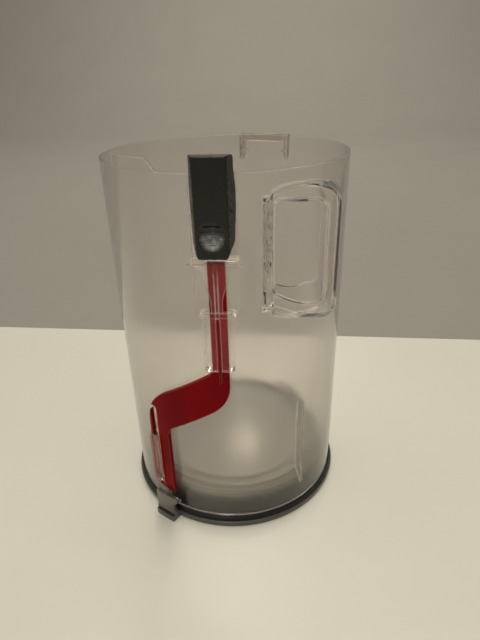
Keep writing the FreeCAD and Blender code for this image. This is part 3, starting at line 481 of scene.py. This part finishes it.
def dark_satin(settings):
    """Charcoal moulded plastic, satin, with rubbed edges that also carry painted sheen, greasy roughness and
    a painted highlight in the thumb hollow.
    """
    finish, tree, shader = new_finish("catch_dark_satin")
    rounded = soft_edges(tree, settings.edge)
    cloud = between(tree, marks(tree, scale=60.0), 0.0, 0.35)
    body = tones(tree, cloud, settings.grey, tuple(1.9 * c for c in settings.grey))
    # Paler edges: rubbing, and painted sheen on the facets.
    pale_edges = reckon(tree, "MULTIPLY", edge_mask(tree, rounded), 0.8)
    edged = tones(tree, pale_edges, body, settings.grey_worn_and_sheen)
    # Painted highlight laid over the lower part of the thumb hollow.
    whole = tones(tree, hollow_highlight(tree, settings), edged, settings.grey_painted_highlight)
    tree.links.new(whole, shader.inputs["Base Color"])
    grain = marks(tree, scale=2600.0, detail=2.0)
    greasy = marks(tree, scale=95.0, detail=3.0)
    tree.links.new(between(tree, greasy, settings.satin, settings.satin + 0.12), shader.inputs["Roughness"])
    shader.inputs["IOR"].default_value = CATCH_IOR
    shader.inputs["Specular IOR Level"].default_value = 0.30
    relief(tree, shader, grain, depth=0.000015, strength=0.5, over=rounded)
    return finish


def smoked_plastic(name, settings, frost, clearness):
    """Smoked polycarbonate, scoured by dust in patches, with a soft translucent body and painted shade
    darkening it low down.
    """
    finish, tree, shader = new_finish(name)
    patches = marks(tree, scale=34.0, detail=5.0)
    fine = marks(tree, scale=800.0, detail=3.0)
    scoured = between(tree, patches, 0.0, 1.0)
    body = tones(tree, scoured, settings.smoke, settings.smoke_worn)
    # Painted shade: darker low down, up to the shade heights.
    height = between(tree, coordinate(tree, "Z"), 0.0, 1.0, *settings.shade_height)
    tree.links.new(tones(tree, height, settings.smoke_painted_shade, body), shader.inputs["Base Color"])
    tree.links.new(between(tree, patches, frost, frost + 0.15), shader.inputs["Roughness"])
    shader.inputs["Transmission Weight"].default_value = clearness
    shader.inputs["IOR"].default_value = BASE_IOR
    shader.inputs["Coat Weight"].default_value = settings.polish
    shader.inputs["Coat Roughness"].default_value = 0.07
    relief(tree, shader, fine, depth=0.00002, strength=0.4, over=soft_edges(tree, BASE_EDGE))
    return finish


def black_rubber(settings):
    """Black moulded rubber with pale dust caught on it, and painted light on the boot's upright upper side.
    """
    finish, tree, shader = new_finish("seal_black_rubber")
    patches = between(tree, marks(tree, scale=120.0, detail=3.0), 0.0, 0.5, start=0.50, end=0.72)
    rings = between(tree, marks(tree, scale=900.0, detail=1.0, stretch=(0.02, 0.02, 1.0)), 0.55, 1.0)
    # Upper side of the boot: dust, and painted light.
    upper = between(tree, coordinate(tree, "Z"), 0.0, 1.0, *settings.dust_height)
    dusty = reckon(tree, "MAXIMUM", patches, reckon(tree, "MULTIPLY", rings, upper))
    dust = tones(tree, upper, settings.rubber_dust, settings.boot_dust_and_light)
    tree.links.new(tones(tree, dusty, settings.rubber, dust), shader.inputs["Base Color"])
    tree.links.new(between(tree, dusty, 0.34, 0.75, start=0.0, end=0.5), shader.inputs["Roughness"])
    shader.inputs["IOR"].default_value = RUBBER_IOR
    shader.inputs["Specular IOR Level"].default_value = 0.25
    grain = marks(tree, scale=1800.0, detail=2.0)
    relief(tree, shader, grain, depth=0.00002, strength=0.2, over=soft_edges(tree, SEAL_EDGE))
    return finish


def drawn_steel(name, settings, stretch):
    """Bright steel with drawing lines along it and dull patches."""
    finish, tree, shader = new_finish(name)
    lines = marks(tree, scale=1500.0, detail=2.0, stretch=stretch)
    dull = between(tree, marks(tree, scale=230.0), 0.0, 1.0, start=0.45, end=0.70)
    tree.links.new(tones(tree, dull, settings.steel, settings.steel_dull), shader.inputs["Base Color"])
    rough = between(tree, dull, settings.brushed, settings.brushed + 0.2, start=0.0, end=1.0)
    tree.links.new(rough, shader.inputs["Roughness"])
    shader.inputs["Metallic"].default_value = 1.0
    relief(tree, shader, lines, depth=0.00001, strength=0.5)
    return finish


def paint(finish, *nodes):
    """Gives CAD nodes a finish through their objects' own slots."""
    for name in nodes:
        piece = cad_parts[name]
        if not piece.material_slots:
            raise RuntimeError(f"{name} has no material slot to take its finish")
        for slot in piece.material_slots:
            slot.link = "OBJECT"
            slot.material = finish


def coil_mesh(name, foot, height, radius, wire, turns):
    """Round-wire coil that stands at a point, with its first and last turns closed."""
    steps, sides = COIL_STEPS, COIL_SIDES
    rise = height - wire
    pitch = (rise - 2 * wire) / (turns - 2)

    def line(t):
        """The middle of the wire after t turns: one closed turn, the open ones, and one closed turn."""
        round_by = 2 * math.pi * t
        lift = wire * min(t, 1.0) + pitch * min(max(t - 1.0, 0.0), turns - 2) + wire * max(t - turns + 1, 0.0)
        return foot + Vector((radius * math.cos(round_by), radius * math.sin(round_by), wire / 2 + lift))

    points = []
    for i in range(steps * turns + 1):
        t = i / steps
        along = (line(t + 0.01) - line(t - 0.01)).normalized()
        round_by = 2 * math.pi * t
        outward = Vector((math.cos(round_by), math.sin(round_by), 0.0))
        across = along.cross(outward).normalized()
        for k in range(sides):
            turn = 2 * math.pi * k / sides
            points.append(line(t) + wire / 2 * (math.cos(turn) * outward + math.sin(turn) * across))
    faces = []
    for i in range(steps * turns):
        for k in range(sides):
            a, b = i * sides + k, i * sides + (k + 1) % sides
            faces.append((a, b, b + sides, a + sides))
    last = steps * turns * sides
    faces.append(tuple(range(sides))[::-1])
    faces.append(tuple(range(last, last + sides)))
    mesh = bpy.data.meshes.new(name)
    mesh.from_pydata(points, [], faces)
    mesh.validate()
    mesh.shade_smooth()
    coil = bpy.data.objects.new(name, mesh)
    bpy.context.scene.collection.objects.link(coil)
    return coil


def let_lamps_through(*nodes):
    """Clear plastic hardly shades what is behind it, so these nodes cast no shadow."""
    for name in nodes:
        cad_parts[name].visible_shadow = False


# ---- stage -------------------------------------------------------------------------------
def sheet_mesh(name, rows, finish):
    """A wide sheet through rows of two points each, smoothly shaded."""
    points = [p for row in rows for p in row]
    faces = [(2 * i, 2 * i + 1, 2 * i + 3, 2 * i + 2) for i in range(len(rows) - 1)]
    mesh = bpy.data.meshes.new(name)
    mesh.from_pydata(points, [], faces)
    mesh.materials.append(finish)
    mesh.shade_smooth()
    sheet = bpy.data.objects.new(name, mesh)
    bpy.context.scene.collection.objects.link(sheet)


def matt_surface(name, tone, roughness, grain_scale, grain_depth, mottle=0.97):
    """A plain painted surface with faint mottling and grain."""
    finish, tree, shader = new_finish(name)
    cloud = between(tree, marks(tree, scale=5.0), 0.0, 1.0)
    tree.links.new(tones(tree, cloud, tone, tuple(c * mottle for c in tone)), shader.inputs["Base Color"])
    grain = marks(tree, grain_scale, detail=3.0)
    tree.links.new(between(tree, grain, roughness, roughness + 0.12), shader.inputs["Roughness"])
    relief(tree, shader, grain, grain_depth, strength=0.3)
    return finish


def lamp(name, stand, target, size, watts, tone=ROOM_TONE):
    """A square soft lamp that looks at a point."""
    light = bpy.data.lights.new(name, "AREA")
    light.shape = "SQUARE"
    light.size = size
    light.energy = watts
    light.color = tone
    holder = bpy.data.objects.new(name, light)
    holder.location = stand
    holder.rotation_mode = "QUATERNION"
    holder.rotation_quaternion = (Vector(target) - Vector(stand)).to_track_quat("-Z", "Y")
    bpy.context.scene.collection.objects.link(holder)


def set_camera(settings):
    """The camera, by its heading, pitch and roll."""
    cos_pitch, sin_pitch = math.cos(settings.pitch), math.sin(settings.pitch)
    cos_turn, sin_turn = math.cos(settings.heading), math.sin(settings.heading)
    ahead = Vector((sin_turn * cos_pitch, cos_turn * cos_pitch, -sin_pitch))
    level = Vector((cos_turn, -sin_turn, 0.0))
    above = level.cross(ahead)
    right = math.cos(settings.roll) * level + math.sin(settings.roll) * above
    up = math.cos(settings.roll) * above - math.sin(settings.roll) * level
    data = bpy.data.cameras.new("camera")
    data.lens = settings.lens
    data.clip_start = 0.01
    holder = bpy.data.objects.new("camera", data)
    turn = Matrix((right, up, -ahead)).transposed()
    holder.matrix_world = Matrix.Translation(settings.camera_at) @ turn.to_4x4()
    bpy.context.scene.collection.objects.link(holder)
    bpy.context.scene.camera = holder


# ---- operators ---------------------------------------------------------------------------
class DUSTBIN_OT_clear_wall(bpy.types.Operator):
    """Give the round wall its scuffed clear plastic"""

    bl_idname = "dustbin.clear_wall"
    bl_label = "Clear Wall"

    def execute(self, context):
        settings = context.scene.dust_bin.clear
        look = {"tint": settings.tint, "tint_worn": settings.tint_worn, "haze": settings.haze,
                "clearness": settings.clearness, "ior": WALL_IOR, "edge_band": settings.edge_band,
                "edge_highlight_share": settings.edge_highlight_share}
        paint(clear_plastic("wall_clear_scuffed", settings, look, WALL_WEAR), "bin_tube")
        let_lamps_through("bin_tube")
        return {"FINISHED"}


class DUSTBIN_OT_inlet(bpy.types.Operator):
    """Give the inlet its clear plastic, with dirt caught in its corner"""

    bl_idname = "dustbin.inlet"
    bl_label = "Inlet"

    def execute(self, context):
        settings = context.scene.dust_bin.clear
        band, cloud = settings.edge_band, settings.edge_highlight_share
        look = fitting_look(settings, settings.fitting_tint, INLET_IOR, band, cloud)
        finish = clear_plastic("inlet_clear", settings, look, INLET_WEAR)
        tree = finish.node_tree
        dirt_in_crevice(tree, tree.nodes["Principled BSDF"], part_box("inlet_frame"))
        paint(finish, "inlet_frame")
        let_lamps_through("inlet_frame")
        return {"FINISHED"}


class DUSTBIN_OT_clear_fittings(bpy.types.Operator):
    """Give the clear brackets, catch mount and rod guides their cleaner plastic"""

    bl_idname = "dustbin.clear_fittings"
    bl_label = "Clear Fittings"

    def execute(self, context):
        settings = context.scene.dust_bin.clear
        band, cloud = settings.guide_band, settings.guide_highlight_share
        look = fitting_look(settings, settings.fitting_tint, GUIDE_IOR, band, cloud)
        guide = clear_plastic("fitting_clear", settings, look, GUIDE_WEAR)
        paint(guide, "upper_rod_guide", "hinge_bracket")
        faint = fitting_look(settings, settings.fitting_tint, MOUNT_IOR, band, MOUNT_HIGHLIGHT_SHARE * cloud)
        paint(clear_plastic("mount_clear_faint", settings, faint, MOUNT_WEAR), "catch_mount")
        # Painted red reflection of the rod on the lower guide.
        red_reflection_look = fitting_look(settings, settings.rail_red_reflection, RAIL_IOR, band, cloud)
        paint(clear_plastic("rail_clear_painted_red", settings, red_reflection_look, GUIDE_WEAR), "lower_rod_guide")
        dirty = fitting_look(settings, settings.hook_tint, HOOK_IOR, settings.edge_band, settings.edge_highlight_share)
        hook = clear_plastic("hook_clear_dirty", settings, dirty, HOOK_WEAR)
        tree = hook.node_tree
        low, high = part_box("rear_hook_bracket")
        foot = between(tree, coordinate(tree, "Z"), 1.0, 0.25, start=low.z + HOOK_DIRT_ABOVE_FOOT,
                       end=high.z - HOOK_DIRT_BELOW_TOP)
        specks(tree, tree.nodes["Principled BSDF"], foot, HOOK_DIRT_LEAST)
        paint(hook, "rear_hook_bracket")
        let_lamps_through("upper_rod_guide", "hinge_bracket", "catch_mount", "lower_rod_guide",
                          "rear_hook_bracket")
        return {"FINISHED"}


class DUSTBIN_OT_push_rod(bpy.types.Operator):
    """Give the push rod its deep red plastic"""

    bl_idname = "dustbin.push_rod"
    bl_label = "Push Rod"

    def execute(self, context):
        paint(red_plastic(context.scene.dust_bin.rod), "push_rod")
        return {"FINISHED"}


class DUSTBIN_OT_thumb_catch(bpy.types.Operator):
    """Give the thumb catch its charcoal satin plastic"""

    bl_idname = "dustbin.thumb_catch"
    bl_label = "Thumb Catch"

    def execute(self, context):
        paint(dark_satin(context.scene.dust_bin.catch), "cyclone_catch")
        return {"FINISHED"}


class DUSTBIN_OT_base(bpy.types.Operator):
    """Give the base flap and its tongue their smoked plastic"""

    bl_idname = "dustbin.base"
    bl_label = "Base Flap and Tongue"

    def execute(self, context):
        settings = context.scene.dust_bin.base
        flap = smoked_plastic("flap_smoked_frosted", settings, settings.frost, settings.clearness)
        paint(flap, "base_flap")
        tongue = smoked_plastic("tongue_smoked", settings, TONGUE_FROST, TONGUE_CLEARNESS)
        paint(tongue, "base_catch_tongue")
        return {"FINISHED"}


class DUSTBIN_OT_seal(bpy.types.Operator):
    """Give the base seal its black rubber"""

    bl_idname = "dustbin.seal"
    bl_label = "Base Seal"

    def execute(self, context):
        paint(black_rubber(context.scene.dust_bin.base), "base_seal")
        return {"FINISHED"}


class DUSTBIN_OT_steel_parts(bpy.types.Operator):
    """Give the pins and springs their drawn steel"""

    bl_idname = "dustbin.steel_parts"
    bl_label = "Pins and Springs"

    def execute(self, context):
        settings = context.scene.dust_bin.steel
        paint(drawn_steel("pin_steel", settings, (0.1, 1.0, 1.0)), "catch_pivot_pin", "hinge_pin")
        paint(drawn_steel("spring_steel", settings, (1.0, 1.0, 1.0)), "catch_spring")
        return {"FINISHED"}


class DUSTBIN_OT_rod_spring(bpy.types.Operator):
    """Wind the rod's return spring"""

    bl_idname = "dustbin.rod_spring"
    bl_label = "Rod Return Spring"

    def execute(self, context):
        settings = context.scene.dust_bin.steel
        low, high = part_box("rod_return_spring")
        foot = Vector(((low.x + high.x) / 2, (low.y + high.y) / 2, low.z))
        radius = (high.x - low.x - settings.wire) / 2
        spring = coil_mesh("rod_spring_coil", foot, high.z - low.z, radius, settings.wire, settings.turns)
        spring.data.materials.append(drawn_steel("coil_steel", settings, (1.0, 1.0, 1.0)))
        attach(spring, "bin")
        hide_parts("rod_return_spring")
        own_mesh(spring)
        return {"FINISHED"}


class DUSTBIN_OT_stage(bpy.types.Operator):
    """Set the pale floor, the plain backdrop, the soft lamps and the camera"""

    bl_idname = "dustbin.stage"
    bl_label = "Stage"

    def execute(self, context):
        settings = context.scene.dust_bin.stage
        turn = Matrix.Rotation(settings.backdrop_turn, 4, "Z")
        edge = settings.backdrop_gap

        def row(y, z):
            """Two points across the sheet, at a distance behind the bin and a height."""
            return [turn @ Vector((x, y, z)) for x in (-SHEET_HALF_WIDTH, SHEET_HALF_WIDTH)]

        floor = matt_surface("floor_pale", settings.floor, roughness=0.55, grain_scale=90.0,
                             grain_depth=0.0004)
        sheet_mesh("floor", [row(FLOOR_NEAR, 0.0), row(edge, 0.0)], floor)
        drop = matt_surface("backdrop_plain", settings.backdrop, roughness=0.85, grain_scale=60.0,
                            grain_depth=0.001)
        rows = [row(edge, 0.0)]
        for i in range(CURVE_STEPS + 1):
            bend = math.radians(90.0 * i / CURVE_STEPS)
            back, rise = CURVE_RADIUS * math.sin(bend), CURVE_RADIUS * (1.0 - math.cos(bend))
            rows.append(row(CURVE_START + back, rise))
        rows.append(row(CURVE_START + CURVE_RADIUS, BACKDROP_TOP))
        sheet_mesh("backdrop", rows, drop)

        world = bpy.data.worlds.new("room_light")
        world.use_nodes = True
        background = world.node_tree.nodes["Background"]
        background.inputs["Color"].default_value = (*ROOM_TONE, 1.0)
        background.inputs["Strength"].default_value = settings.sky
        context.scene.world = world

        low, high = CAD_BOX
        middle = (low + high) / 2
        lamp("key_lamp", KEY_PLACE, middle, KEY_SIZE, settings.key, KEY_TONE)
        lamp("top_lamp", TOP_PLACE, middle, TOP_SIZE, settings.top)
        lamp("rear_lamp", REAR_PLACE, middle, REAR_SIZE, settings.rear, REAR_TONE)
        lamp("backdrop_lamp", WASH_PLACE, WASH_TARGET, WASH_SIZE, settings.wash)
        set_camera(settings)
        context.scene.view_settings.view_transform = "Standard"
        return {"FINISHED"}


PIECE_OPERATORS = [DUSTBIN_OT_clear_wall, DUSTBIN_OT_inlet, DUSTBIN_OT_clear_fittings, DUSTBIN_OT_push_rod,
                   DUSTBIN_OT_thumb_catch, DUSTBIN_OT_base, DUSTBIN_OT_seal, DUSTBIN_OT_steel_parts,
                   DUSTBIN_OT_rod_spring, DUSTBIN_OT_stage]


class DUSTBIN_PT_sidebar(bpy.types.Panel):
    """Lists the finishes and the stage in the sidebar"""

    bl_idname = "DUSTBIN_PT_sidebar"
    bl_label = "Dust Bin"
    bl_space_type = "VIEW_3D"
    bl_region_type = "UI"
    bl_category = "Dust Bin"

    def draw(self, context):
        for operator in PIECE_OPERATORS:
            self.layout.operator(operator.bl_idname)


CLASSES = [ClearPlasticSettings, RodSettings, CatchSettings, BaseSettings, SteelSettings, StageSettings,
           DustBinSettings, *PIECE_OPERATORS, DUSTBIN_PT_sidebar]


def register():
    """Adds the settings, operators and panel."""
    for cls in CLASSES:
        bpy.utils.register_class(cls)
    bpy.types.Scene.dust_bin = PointerProperty(type=DustBinSettings)


def unregister():
    """Takes them away again."""
    del bpy.types.Scene.dust_bin
    for cls in reversed(CLASSES):
        bpy.utils.unregister_class(cls)


def main():
    """Finishes every piece and sets the stage."""
    register()
    bpy.ops.dustbin.clear_wall()
    bpy.ops.dustbin.inlet()
    bpy.ops.dustbin.clear_fittings()
    bpy.ops.dustbin.push_rod()
    bpy.ops.dustbin.thumb_catch()
    bpy.ops.dustbin.base()
    bpy.ops.dustbin.seal()
    bpy.ops.dustbin.steel_parts()
    bpy.ops.dustbin.rod_spring()
    bpy.ops.dustbin.stage()


if __name__ == "__main__":
    main()
